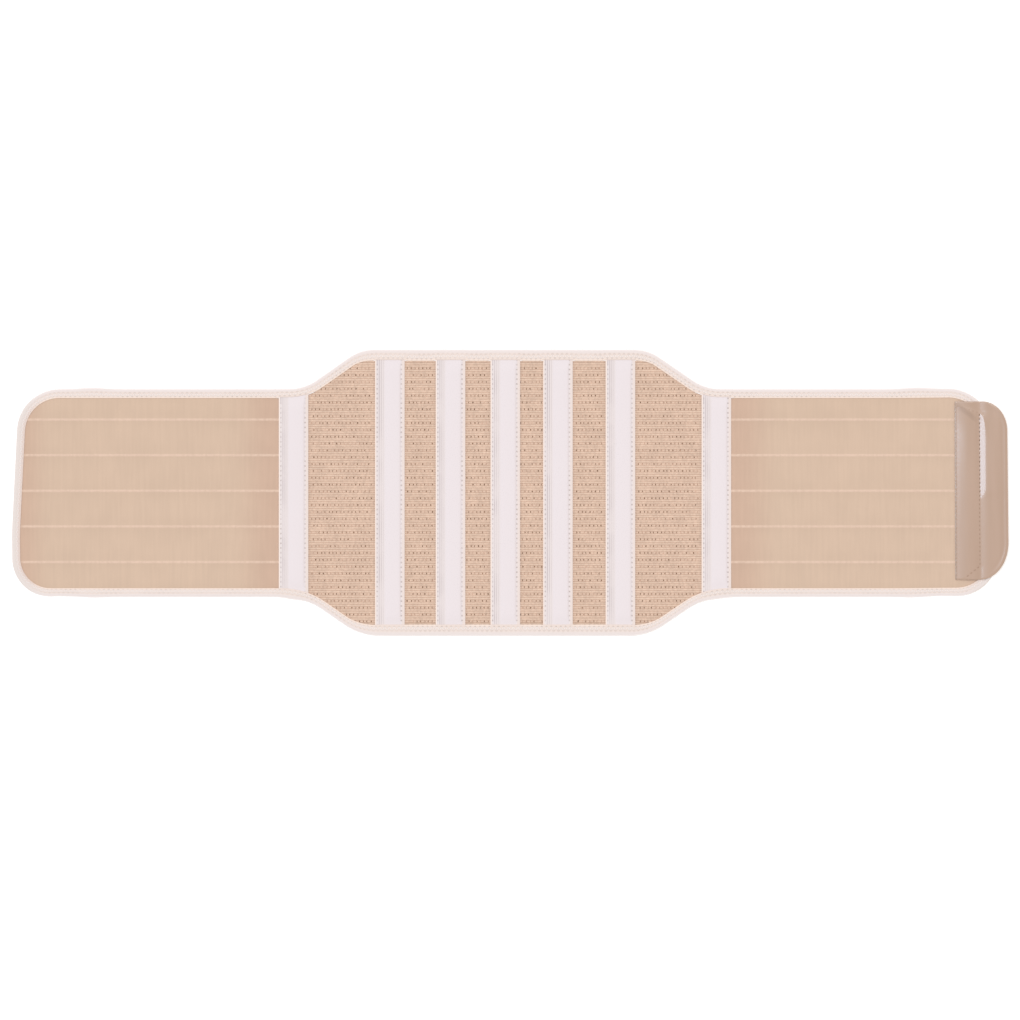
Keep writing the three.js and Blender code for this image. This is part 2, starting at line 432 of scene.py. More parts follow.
def knitRepeat(k, columns, holeRows):
    rows, heights = knitRows(k)
    tile = addGrid("knit_repeat", len(columns) - 1, len(rows) - 1)
    x = np.tile(columns, len(rows))
    y = np.repeat(rows, len(columns))
    placeCoords(tile, np.column_stack([x, y, np.repeat(heights, len(columns)) + layers["face"]]))
    holeShare = k["ribShares"][-1]
    spots = [(0, holeShare * k["rowPitch"]), (k["holePitch"] / 2, (1 + holeShare) * k["rowPitch"])][:holeRows]
    if not spots:
        return tile
    pick(tile)
    for item in (*tile.data.vertices, *tile.data.edges):
        item.select = False
    for face in tile.data.polygons:
        centre = np.array(face.center)[:2]
        face.select = any((np.abs(centre - spot) < k["holeReach"]).all() for spot in spots)
    bpy.ops.object.mode_set(mode="EDIT")
    bpy.ops.mesh.select_mode(type="FACE")
    bpy.ops.mesh.inset(thickness=k["holeInset"])
    bpy.ops.mesh.extrude_region_move(TRANSFORM_OT_translate={"value": (0, 0, -k["holeDepth"])})
    bpy.ops.object.mode_set(mode="OBJECT")
    coords = coordsOf(tile)
    half, end = k["holeEnd"]
    for spot in spots:
        fromHole = coords[:, :2] - spot
        ends = (np.abs(fromHole[:, 0]) < half) & (np.abs(np.abs(fromHole[:, 1]) - end) < 0.05 * mm)
        coords[ends, :2] = spot + fromHole[ends] * np.array(k["holePinch"])
    placeCoords(tile, coords)
    return tile


def copyTile(tile, across, acrossStep, up, upStep, at):
    for count, step in ((up, (0, upStep, 0)), (across, (acrossStep, 0, 0))):
        if count > 1:
            applyModifier(tile, "ARRAY", count=count, use_relative_offset=False, use_constant_offset=True,
                          constant_offset_displace=step, use_merge_vertices=True, merge_threshold=0.01 * mm)
    placeCoords(tile, coordsOf(tile) + np.array([*at, 0]))
    return tile


def unevenHoles(panel, k):          # the yarn draws some holes shut and pulls their rows about
    coords = coordsOf(panel)
    chance = np.random.default_rng(k["seed"])
    row = np.round((coords[:, 1] - k["holeRowAt"]) / k["rowPitch"]).astype(int)
    inRow = np.abs(coords[:, 1] - k["holeRowAt"] - row * k["rowPitch"]) < k["pullHalf"]
    depths, turns = k["depths"], 2 * math.pi * chance.random((row.max() - row.min() + 1, 2))
    for r in range(row.min(), row.max() + 1):
        floor = np.where((row == r) & (coords[:, 2] < layers["face"] - k["floor"]))[0]
        floor = floor[np.argsort(coords[floor, 0])]
        hole = np.cumsum(np.diff(coords[floor, 0], prepend=-1) > k["apart"])
        depth = np.clip(chance.normal(*depths["spread"], hole.max(initial=0) + 1), *depths["limits"])
        coords[floor, 2] += k["holeDepth"] * (1 - depth[hole])
        here = np.where((row == r) & inRow)[0]
        x = coords[here, 0]
        for (length, share), turn in zip(k["pullWaves"], turns[r - row.min()]):
            coords[here, 0] += k["pull"] * share * np.sin(2 * math.pi * x / length + turn)
    placeCoords(panel, coords)


def makeKnit(k):
    height = 2 * k["rowPitch"]
    base = k["holeRowAt"] - k["ribShares"][-1] * k["rowPitch"] - (k["repeats"] / 2 + 1) * height
    last = base + k["repeats"] * height
    pieces = []
    bandFrom = seams[0] + layers["seamHalf"]
    panelEnd = -bandFrom
    for i, count in enumerate(k["holesAcross"]):
        start = (casingSpans[i][1] + casingSpans[i + 1][0] - count * k["holePitch"]) / 2
        shift = start - k["columns"][0]
        for holeRows, up, y in ((2, k["repeats"], base), (1, 1, last), (0, 1, last + height)):
            tile = knitRepeat(k, k["columns"], holeRows)
            pieces.append(copyTile(tile, count, k["holePitch"], up, height, (shift, y)))
        band = knitRepeat(k, [bandFrom, start], 0)
        pieces.append(copyTile(band, 1, 0, k["repeats"] + 2, height, (0, base)))
        bandFrom = start + count * k["holePitch"]
    band = knitRepeat(k, [bandFrom, panelEnd], 0)
    pieces.append(copyTile(band, 1, 0, k["repeats"] + 2, height, (0, base)))
    pick(*pieces)
    bpy.ops.object.join()
    panel = bpy.context.object
    panel.name = "back_panel_knit"
    applyModifier(panel, "WELD", merge_threshold=0.02 * mm)
    unevenHoles(panel, k)
    closeBelow(panel, layers["under"])
    applyModifier(panel, "BOOLEAN", operation="INTERSECT", object=cutter, solver="MANIFOLD")
    smooth(panel, 60)
    return panel


def knitMaterial(k):
    # Elastic rib knit: soft matt yarn, paler on the ribs with painted shade in the valleys between them, and
    # brown painted shade down in the holes
    material, add, sockets, tint = newMaterial("elastic rib knit", k)
    place = add("TexCoord").outputs["Object"]
    x, y, z = add("SeparateXYZ", place).outputs
    face, under = layers["face"], layers["under"]
    rib = add("MapRange", z, *[face + r for r in k["ribReach"]], **soft)
    above = add("MapRange", z, *[under + r for r in k["backReach"]], **soft)     # 0 on the back
    # painted shade on the floors of the holes, by depth, none on the back
    hole = product(add, add("MapRange", z, *[face + r for r in k["holeShade"]], **soft), above)
    bar = add("MapRange", fromLine(add, y, k["holeRowAt"], k["rowPitch"]), *k["barReach"], **soft)
    # painted shade: the valleys between the ribs take the darker colour, by height
    tone = layered(add, tint["valleyShade"], (rib, tint["rib"]), (product(add, rib, bar), tint["bar"]))
    yarn = add("TexNoise", place, 1 / k["grain"]["yarn"], 2.0)
    patches = add("TexNoise", place, 1 / k["grain"]["patch"], 3.0)
    fuzz = add("TexNoise", place, 1 / k["grain"]["fuzz"], 2.0)
    loops = ripple(add, x, k["holePitch"] / 3)          # stitches along a rib
    # painted shadow in the knit beside each casing and under the binding's edges
    fromTop = add("Math", k["showsTo"], add("Math", y, **absolute), **minus)
    beside = add("Math", fromTop, besideCasing(add, x, 1.0), **least)
    shadowedBeside = product(add, *[add("MapRange", beside, *span, **soft) for span in k["shadowBeside"]])
    shade = product(
        add,
        add("Math", loops, *k["loopShade"], **timesPlus),
        add("MapRange", yarn, *noiseSpan, *k["shades"]["yarn"], **soft),
        add("Math", shadowedBeside, *k["shadowBesideDepth"], **timesPlus),
        # painted shadow along the lower binding
        add("MapRange", y, *k["lowBindingShadow"], *k["shades"]["lowBindingShadow"], **soft),
        add("MapRange", patches, *noiseSpan, *k["shades"]["patch"], **soft),
    )
    toned = add("VectorMath", tone, shade, operation="SCALE")
    plug(layered(add, toned, (hole, tint["hole"])), sockets["Base Color"])
    onBack = add("Math", above, *k["backRelief"], **timesPlus)
    backRibs = product(add, ripple(add, y, k["rowPitch"] / 3), onBack)
    relief = add("Math", add("Math", loops, fuzz, **plus), backRibs, **plus)
    plug(add("Bump", *k["bump"], None, relief), sockets["Normal"])
    return material


backPanel = makeKnit(knit)
finishPiece(backPanel, knitMaterial(knit), "back_panel")
print("knit panel", len(backPanel.data.polygons), "faces")


# Wings: close woven elastic with five pale raised lines along it
wing = {
    "lines": 5,
    "linePitch": 31 * mm,
    "lineMiddle": 1.5 * mm,
    "lineProfile": [        # across and up, in mm
        (-1.5, 0.0), (-1.1, 0.07), (-0.6, 0.22), (0.0, 0.3), (0.6, 0.22), (1.1, 0.07), (1.5, 0.0),
    ],
    "lineLeft": (425 * mm, 6 * mm),         # where a line ends, and over what length it fades
    "lineRight": (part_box("closure_tab")[0].x - 0.5 * mm, 2 * mm),
    "reach": 440 * mm,          # past the belt's end, where the cloth is trimmed
    "columnStep": 4 * mm,
    "rowStep": 5 * mm,
    "rowClear": 1 * mm,         # no plain row lies nearer to a line's rows
    "wave": 0.12 * mm,          # slack of the cloth between its seams
    "waveLength": 74 * mm,
    "waveSkew": (1.3, 0.7),     # how far the waves wander, and how often up the belt
    "waveUp": (0.6, 0.4),       # how often they swell and sink up the belt, and their shift
    "waveTo": 385 * mm,
    "waveFade": {"edge": 40 * mm, "root": 40 * mm, "end": 30 * mm},
    "cordPitch": 1.3 * mm,      # drawn coarser than the real cords, to show
    "pickPitch": 0.9 * mm,
    "lineHalf": (1.5 * mm, 0.5 * mm),
    "lineFrom": (-424 * mm, -418 * mm),
    "shaded": [(240 * mm, 203 * mm), (394 * mm, 422 * mm)],     # painted shade, darker towards the casing and the end
    # painted shade along the binding: from, and to
    "edgeReach": (76 * mm, 83 * mm),
    "between": (0.05, 0.4),     # painted shade from beside a line to between two, as a share of their pitch
    "grain": {"float": 3 * mm, "streak": 2.6 * mm, "patch": 24 * mm},
    "drawn": (1.0, 0.06, 1.0),  # streaks are drawn out across the belt
    "floatSpan": (0.3, 0.65, 0.6, 1.0),
    "shades": {"patch": (0.985, 1.015), "streak": (0.982, 1.014), "between": (0.99, 1.005),
               "edge": (1.0, 0.984)},
    "weaveShade": (0.035, 0.975),
    "pickShare": 0.7,
    "bump": (0.5, 0.08 * mm),
    "colours": {"cloth": "#D7BCA6", "shade": "#D1B29D", "line": "#E6C9B5"},
    "finish": {"Roughness": 0.85, "Specular IOR Level": 0.2, "Sheen Weight": 0.12, "Sheen Roughness": 0.5},
}


def wingRows(w):
    rows = []
    for i in range(w["lines"]):
        middle = w["lineMiddle"] + (i - (w["lines"] - 1) / 2) * w["linePitch"]
        rows += [(middle + dy * mm, dz * mm) for dy, dz in w["lineProfile"]]
    half = beltPlan["wingHalf"] + w["rowStep"]
    taken = np.array([r[0] for r in rows])
    for y in np.arange(-half, half + w["rowStep"], w["rowStep"]):
        if np.abs(taken - y).min() > w["rowClear"]:
            rows.append((y, 0.0))
    return np.array(sorted(rows))


def makeWing(w, name, fromX, toX, lineEnd, fade):
    rows = wingRows(w)
    columns = np.linspace(fromX, toX, round(abs(toX - fromX) / w["columnStep"]))
    stops = math.copysign(1, fromX) * np.array([lineEnd - fade, lineEnd - fade / 2, lineEnd])
    columns = np.unique(np.concatenate([columns, stops]))
    piece = addGrid(name, len(columns) - 1, len(rows) - 1)
    x = np.tile(columns, len(rows))
    y = np.repeat(rows[:, 0], len(columns))
    turn = 2 * math.pi / w["waveLength"]
    fadeIn = w["waveFade"]
    inside = ease(0, fadeIn["edge"], beltPlan["wingHalf"] - np.abs(y))
    inside *= ease(0, fadeIn["root"], np.abs(x) - beltPlan["wingRoot"]["left"])
    inside *= ease(0, fadeIn["end"], w["waveTo"] - np.abs(x))
    (skew, skewTurns), (upTurns, upShift) = w["waveSkew"], w["waveUp"]
    slack = np.sin(turn * x + skew * np.sin(turn * skewTurns * y)) * np.cos(turn * upTurns * y + upShift)
    line = np.repeat(rows[:, 1], len(columns)) * ease(lineEnd, lineEnd - fade, np.abs(x))
    placeCoords(piece, np.column_stack([x, y, layers["face"] + line + w["wave"] * slack * inside]))
    closeBelow(piece, layers["under"])
    applyModifier(piece, "BOOLEAN", operation="INTERSECT", object=cutter, solver="MANIFOLD")
    smooth(piece, 40)
    return piece


def elasticMaterial(w):
    # Woven elastic: fine crosswise cords under a matt filling, pale floats on the raised lines
    material, add, sockets, tint = newMaterial("woven elastic", w)
    place = add("TexCoord").outputs["Object"]
    x, y, _ = add("SeparateXYZ", place).outputs
    cords, picks = ripple(add, x, w["cordPitch"]), ripple(add, y, w["pickPitch"])
    floats = add("TexNoise", place, 1 / w["grain"]["float"], 1.0)
    patches = add("TexNoise", place, 1 / w["grain"]["patch"], 4.0)
    drawn = add("VectorMath", place, w["drawn"], **times)
    streaks = add("TexNoise", drawn, 1 / w["grain"]["streak"], 2.0)
    away = fromLine(add, y, w["lineMiddle"], w["linePitch"])
    line = product(
        add,
        add("MapRange", away, *[half / w["linePitch"] for half in w["lineHalf"]], **soft),
        add("MapRange", floats, *w["floatSpan"], **soft),
        add("MapRange", x, *w["lineFrom"], **soft),
    )
    reach = add("Math", x, **absolute)
    # painted shade towards the casing and the belt's end
    ends = add("Math", *[add("MapRange", reach, *span, **soft) for span in w["shaded"]], **most)
    tone = layered(add, tint["cloth"], (ends, tint["shade"]), (line, tint["line"]))
    shade = product(
        add,
        add("Math", product(add, cords, picks), *w["weaveShade"], **timesPlus),
        add("MapRange", patches, *noiseSpan, *w["shades"]["patch"], **soft),
        add("MapRange", streaks, *noiseSpan, *w["shades"]["streak"], **soft),
        # painted shade beside each raised line, paler between two
        add("MapRange", away, *w["between"], *w["shades"]["between"], **soft),
        # painted shade under the binding's edges
        add("MapRange", add("Math", y, **absolute), *w["edgeReach"], *w["shades"]["edge"], **soft),
    )
    plug(add("VectorMath", tone, shade, operation="SCALE"), sockets["Base Color"])
    relief = add("Math", picks, w["pickShare"], cords, **timesPlus)
    plug(add("Bump", *w["bump"], None, relief), sockets["Normal"])
    return material


seam = seams[1] + layers["seamHalf"]
elastic = elasticMaterial(wing)
wingLeft = makeWing(wing, "wing_left_elastic", -wing["reach"], -seam, *wing["lineLeft"])
wingRight = makeWing(wing, "wing_right_elastic", seam, wing["reach"], *wing["lineRight"])
finishPiece(wingLeft, elastic, "wing_left")
finishPiece(wingRight, elastic, "wing_right")
print("wings", len(wingLeft.data.polygons), "faces each")


# Stay casings: pale woven tape, ribbed on its left margin and raised over the stay
casing = {
    "low": layers["face"] + 0.25 * mm,
    "tuckShare": 0.72,          # where the end goes under the binding
    "rowStep": 3 * mm,
    "endTaper": (1.5 * mm, 12 * mm),        # over this stretch it rises from flat to full
    "profile": [        # across and up, in mm: ribbed margin, stay, plain margin
        (0.0, 0.2), (0.15, 0.5), (0.5, 0.62), (1.1, 0.62), (1.6, 0.48), (1.96, 0.42), (2.3, 0.5),
        (2.85, 0.64), (3.4, 0.6), (3.7, 0.52), (4.0, 0.6), (4.55, 0.66), (5.15, 0.62), (5.44, 0.55),
        (5.75, 0.63), (6.3, 0.69), (6.9, 0.68), (7.18, 0.63), (7.5, 0.72), (8.2, 0.9), (9.2, 1.2),
        (10.4, 1.48), (11.8, 1.65), (13.4, 1.74), (15, 1.77), (17, 1.76), (19, 1.71), (20.3, 1.63),
        (21.2, 1.48), (21.8, 1.22), (22.3, 0.84), (22.7, 0.55), (23.0, 0.44), (23.3, 0.5), (23.8, 0.6),
        (24.7, 0.64), (25.4, 0.6), (25.75, 0.5), (25.9, 0.2),
    ],
    "endRows": [0, 1, 2.5, 4, 6, 8, 10, 12, 14, 16, 18],     # mm in from either end
    "endHeight": 0.5 * mm,      # pressed flat under the binding
    "stitchRows": [1.96 * mm, 23 * mm],
    "stitchPitch": 4.2 * mm,
    "stitchLift": 0.44 * mm,
    "stitchClear": 0.2,         # share of a pitch left free before the binding
    "needles": [(0.0, 1.0 * mm, 0.75), (0.0, 1.1 * mm, 0.85)],      # shift, size and weight in each row
    "ribs": {"pitch": 1.74 * mm, "at": 3.7 * mm, "sharp": 4.0},
    "ribReach": [(1.1 * mm, 1.5 * mm), (8.3 * mm, 3.2 * mm, 0.25, 1.0), (8.3 * mm, 7.7 * mm)],
    "selvedge": (1.2 * mm, 0.9 * mm),
    "farEdge": (22.5 * mm, 23.9 * mm),
    "margin": (9.5 * mm, 7.5 * mm),
    "seamGrooveShade": (0.9 * mm, 0.2 * mm, 0.0, 0.08),        # painted shade in the far seam's groove: from, to, and how dark
    "weave": (0.6 * mm, 0.3),       # pitch, and its share of the relief
    "grain": {"grooveShadeNoise": 26 * mm, "drag": 34 * mm},
    "grooveShadeNoise": (0.36, 0.6, 0.35, 1.05),        # the painted shade in the rib grooves shows less in places
    "bite": (0.36, 0.64, 0.2, 0.85),        # and the thread bites more
    "bump": (0.5, 0.15 * mm),
    # rib is painted shade, in the rib grooves and the far seam's groove; needle is painted shade in the
    # needle holes
    "colours": {"tape": "#EBE1E3", "margin": "#E9DEDD", "rib": "#B5A9AC", "selvedge": "#F8E7DE",
                "edge": "#ECDDD7", "needle": "#BDAFAA"},
    "finish": {"Roughness": 0.7, "Specular IOR Level": 0.25, "Sheen Weight": 0.1},
}


def makeCasing(c, node):
    low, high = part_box(node)
    profile = np.array(c["profile"]) * mm
    across, heights = profile[:, 0], profile[:, 1]
    x = low.x + across * (high.x - low.x) / across[-1]
    yTop = edgeAt(x, True, c["tuckShare"])
    yLow = edgeAt(x, False, c["tuckShare"])
    length = (yTop - yLow).min()
    ends = np.array(c["endRows"]) * mm
    rest = 2 * ends[-1] - ends[-2]
    middle = np.linspace(rest, length - rest, round((length - 2 * rest) / c["rowStep"]))
    t = np.concatenate([ends, middle, length - ends[::-1]]) / length
    piece = addGrid(node.replace("stay_", "stay_tape_"), len(across) - 1, len(t) - 1)
    y = yLow[None, :] + t[:, None] * (yTop - yLow)[None, :]
    fromEnd = np.minimum(y - yLow[None, :], yTop[None, :] - y)
    rise = ease(*c["endTaper"], fromEnd)
    z = np.minimum(heights, c["endHeight"])[None, :] * (1 - rise) + heights[None, :] * rise
    coords = np.column_stack([np.tile(x, len(t)), y.ravel(), c["low"] + z.ravel()])
    placeCoords(piece, coords)
    setUv(piece, np.column_stack([np.tile(across, len(t)), y.ravel()]))
    closeBelow(piece, c["low"])
    smooth(piece, 55)
    return piece


# needle holes: painted shade for a colour, and dents for a bump
def needleMarks(add, across, along, pitch, rows):   # rows: place across, shift along, size and weight
    marks = 0.0
    for at, shift, size, weight in rows:
        side = add("Math", add("Math", across, at, **minus), size, **dividedBy)
        ahead = add("Math", fromLine(add, along, (0.5 - shift) * pitch, pitch), pitch / size, **times)
        squares = [add("Math", way, 2.0, operation="POWER") for way in (side, ahead)]
        away = add("Math", add("Math", *squares, **plus), operation="SQRT")
        marks = add("Math", marks, add("MapRange", away, 1.0, 0.35, 0.0, weight, **soft), **most)
    return marks


def casingMaterial(c):
    # Woven cotton tape: smooth and slightly lustrous, cream selvedges, painted shade in the rib grooves, in
    # the far seam's groove and in the needle holes along both seams
    material, add, sockets, tint = newMaterial("woven casing tape", c)
    across, along, _ = add("SeparateXYZ", add("UVMap", uv_map="cloth")).outputs
    place = add("TexCoord").outputs["Object"]
    ribs = c["ribs"]
    grooveShadeNoise = add("TexNoise", place, 1 / c["grain"]["grooveShadeNoise"], 2.0)
    # painted shade in the grooves between the ribs
    grooves = product(
        add,
        add("Math", ripple(add, across, ribs["pitch"], -ribs["at"]), ribs["sharp"], operation="POWER"),
        *[add("MapRange", across, *span, **soft) for span in c["ribReach"]],
        add("MapRange", grooveShadeNoise, *c["grooveShadeNoise"], **soft),
    )
    fromSeam = add("Math", add("Math", across, c["stitchRows"][1], **minus), **absolute)
    marks = needleMarks(add, across, along, c["stitchPitch"],
                        [(at, *needle) for at, needle in zip(c["stitchRows"], c["needles"])])
    drag = add("TexNoise", place, 1 / c["grain"]["drag"], 1.0)
    pull = add("MapRange", drag, *c["bite"], **soft)
    tone = layered(
        add,
        tint["tape"],
        (add("MapRange", across, *c["margin"], **soft), tint["margin"]),
        (grooves, tint["rib"]),
        (add("MapRange", across, *c["selvedge"], **soft), tint["selvedge"]),
        (add("MapRange", across, *c["farEdge"], **soft), tint["edge"]),
        # painted shade in the far seam's groove
        (add("MapRange", fromSeam, *c["seamGrooveShade"], **soft), tint["rib"]),
        # painted shade in the needle holes
        (product(add, marks, pull), tint["needle"]),
    )
    plug(tone, sockets["Base Color"])
    pitch, share = c["weave"]
    weave = product(add, ripple(add, across, pitch), ripple(add, along, pitch), share)
    plug(add("Bump", *c["bump"], None, add("Math", weave, marks, **minus)), sockets["Normal"])
    return material


tapeMaterial = casingMaterial(casing)
casings = [makeCasing(casing, node) for node in casingNodes]
for piece, node in zip(casings, casingNodes):
    finishPiece(piece, tapeMaterial, node)
print("casings", len(casings))


# Binding: one tape folded round the whole edge, pulled in a little at every needle hole
binding = {
    "section": [        # share of the tape's width in from the fold, height, share of the lift over a casing
        (1.0, 2.5, 1), (1.005, 2.75, 1), (0.985, 2.98, 1), (0.94, 3.08, 1), (0.88, 3.08, 1), (0.81, 3.0, 0.9),
        (0.74, 3.08, 0.8), (0.66, 3.16, 0.65), (0.58, 3.12, 0.5), (0.5, 3.02, 0.42), (0.42, 3.12, 0.28),
        (0.3, 3.2, 0.12), (0.17, 3.08, 0), (0.08, 2.72, 0), (0.02, 2.15, 0), (0.0, 1.55, 0), (0.02, 0.95, 0),
        (0.08, 0.42, 0), (0.17, 0.1, 0), (0.3, 0.0, 0), (0.6, 0.0, 0), (0.9, 0.0, 0), (0.985, 0.1, 0),
        (1.0, 0.4, 0), (0.985, 0.7, 0), (0.6, 0.74, 0), (0.22, 0.8, 0), (0.12, 1.55, 0), (0.22, 2.42, 0.1),
        (0.6, 2.5, 0.6),
    ],
    "lift": 0.6 * mm,           # step over a casing's end
    "drawn": (0.9 * mm, 0),     # how much less far in it reaches over a casing, above and below
    "liftRamp": 3.5 * mm,
    "dimple": 0.16 * mm,
    "pucker": (-0.1 * mm, 0.04 * mm),       # the lip at an inner needle, and between two
    "puckerFrom": 0.9,          # share of the width where the lip begins
    "meanWidth": 8.6 * mm,
    "needles": {"outerRow": (0.5, 1.7 * mm, 0.6), "innerRow": (0.0, 1.2 * mm, 1.0)},    # shift, size, weight
    "bands": {                  # shares of its width
        "sewn": (0.25, 0.5), "foldLight": (0.16, 0.06), "lip": (0.84, 0.92), "end": (0.4, 0.75),
    },
    "clear": (-0.5 * mm, 0.8 * mm),         # the lip's cream, partly its own colour and partly painted highlight, shows only over the beige cloth, clear of the casings
    # painted shade towards the belt's ends, in the end and endFoldShade colours
    "ends": (398 * mm, 420 * mm),
    "loose": (396 * mm, 424 * mm, 1.0, 0.3),        # looser stitches round the ends
    "bite": (0.36, 0.64, 0.2, 0.6),
    "drag": 22 * mm,
    "weave": (0.7 * mm, 0.08, 0.4),         # pitch along it, as a share of its width, share of the relief
    "bump": (0.5, 0.15 * mm),
    # foldLight is painted light on the fold; end and endFoldShade are painted shade towards the ends; lip is
    # partly painted highlight
    "colours": {"fold": "#EDE1DE", "sewn": "#EDDDD5", "lip": "#F7E4D8", "end": "#E5D3CB",
                "endFoldShade": "#E8DDD8", "foldLight": "#FAF3F1", "needle": "#C9B6AB"},
    "finish": {"Roughness": 0.85, "Specular IOR Level": 0.2, "Sheen Weight": 0.15},
}


def liftOverCasings(b):
    lift = np.zeros(edge["count"])
    level = np.abs(edge["inward"][:, 1]) > beltPlan["level"]
    for low, high in casingSpans:
        x = edge["spot"][:, 0]
        over = ease(low - b["liftRamp"], low, x) * ease(high + b["liftRamp"], high, x)
        lift = np.maximum(lift, over * level)
    return lift * b["lift"]


def faceWidth(b):
    drawn = np.where(edge["inward"][:, 1] < 0, *b["drawn"])
    return edge["width"] - liftOverCasings(b) / b["lift"] * drawn


def makeBinding(b):
    section = np.array(b["section"] + b["section"][:1])
    foldAt = np.argmin(section[:, 0])       # the section's outermost point
    stations = np.append(np.arange(edge["count"]), 0)
    piece = addGrid("edge_binding_tape", len(stations) - 1, len(section) - 1)
    lift = liftOverCasings(b)[stations]
    width, onTop = edge["width"][stations], faceWidth(b)[stations]
    along = np.arange(len(stations)) * edge["length"] / edge["count"]
    phase = np.arange(len(stations)) % zigzag["perPitch"]
    needleAt = {zigzag["outerRow"]: phase == 0, zigzag["innerRow"]: phase == 2}
    coords, uv = [], []
    for j, (share, height, lifted) in enumerate(section):
        onFace = j <= foldAt
        inward = share * (onTop if onFace else width)
        z = np.full(len(stations), height * mm) + lift * lifted
        if onFace and share in needleAt:
            z -= b["dimple"] * needleAt[share]
        if onFace and share > b["puckerFrom"]:
            inward = inward + np.where(phase == 2, *b["pucker"])
        spot = edge["spot"][stations] + edge["inward"][stations] * inward[:, None]
        coords.append(np.column_stack([spot, z]))
        uv.append(np.column_stack([along, np.full(len(stations), share if onFace else -share)]))
    placeCoords(piece, np.concatenate(coords))
    setUv(piece, np.concatenate(uv))
    applyModifier(piece, "WELD", merge_threshold=0.005 * mm)
    turnOut(piece)
    smooth(piece, 60)
    return piece


def bindingMaterial(b):
    # Soft knitted binding tape: lilac white on the fold with painted light where it bends over, warmer where
    # the zigzag seam runs, painted shade towards the belt's ends
    material, add, sockets, tint = newMaterial("folded binding tape", b)
    along, share, _ = add("SeparateXYZ", add("UVMap", uv_map="cloth")).outputs
    place = add("TexCoord").outputs["Object"]
    x = add("SeparateXYZ", place).outputs["X"]
    reach = add("Math", x, **absolute)
    band = {part: add("MapRange", share, *span, **soft) for part, span in b["bands"].items()}
    across = add("Math", share, b["meanWidth"], **times)
    pitch = edge["length"] / (edge["count"] / zigzag["perPitch"])
    marks = needleMarks(add, across, along, pitch,
                        [(zigzag[row] * b["meanWidth"], *needle) for row, needle in b["needles"].items()])
    drag = add("TexNoise", place, 1 / b["drag"], 1.0)
    pull = product(add, add("MapRange", drag, *b["bite"], **soft),
                   add("MapRange", reach, *b["loose"], **soft))
    overCloth = add("MapRange", besideCasing(add, x, 1.0), *b["clear"], **soft)
    # painted shade towards the belt's ends
    endShade = layered(add, tint["endFoldShade"], (band["end"], tint["end"]))
    tone = layered(
        add,
        tint["fold"],
        (band["sewn"], tint["sewn"]),
        # painted light on the fold
        (band["foldLight"], tint["foldLight"]),
        # the lip's cream, partly painted highlight
        (product(add, band["lip"], overCloth), tint["lip"]),
        (add("MapRange", reach, *b["ends"], **soft), endShade),
        # painted shade in the needle holes
        (product(add, marks, pull), tint["needle"]),
    )
    plug(tone, sockets["Base Color"])
    alongPitch, acrossPitch, reliefShare = b["weave"]
    weave = product(add, ripple(add, along, alongPitch), ripple(add, share, acrossPitch), reliefShare)
    plug(add("Bump", *b["bump"], None, add("Math", weave, marks, **minus)), sockets["Normal"])
    return material


bindingTape = makeBinding(binding)
finishPiece(bindingTape, bindingMaterial(binding), "edge_binding")
print("binding", len(bindingTape.data.polygons), "faces")


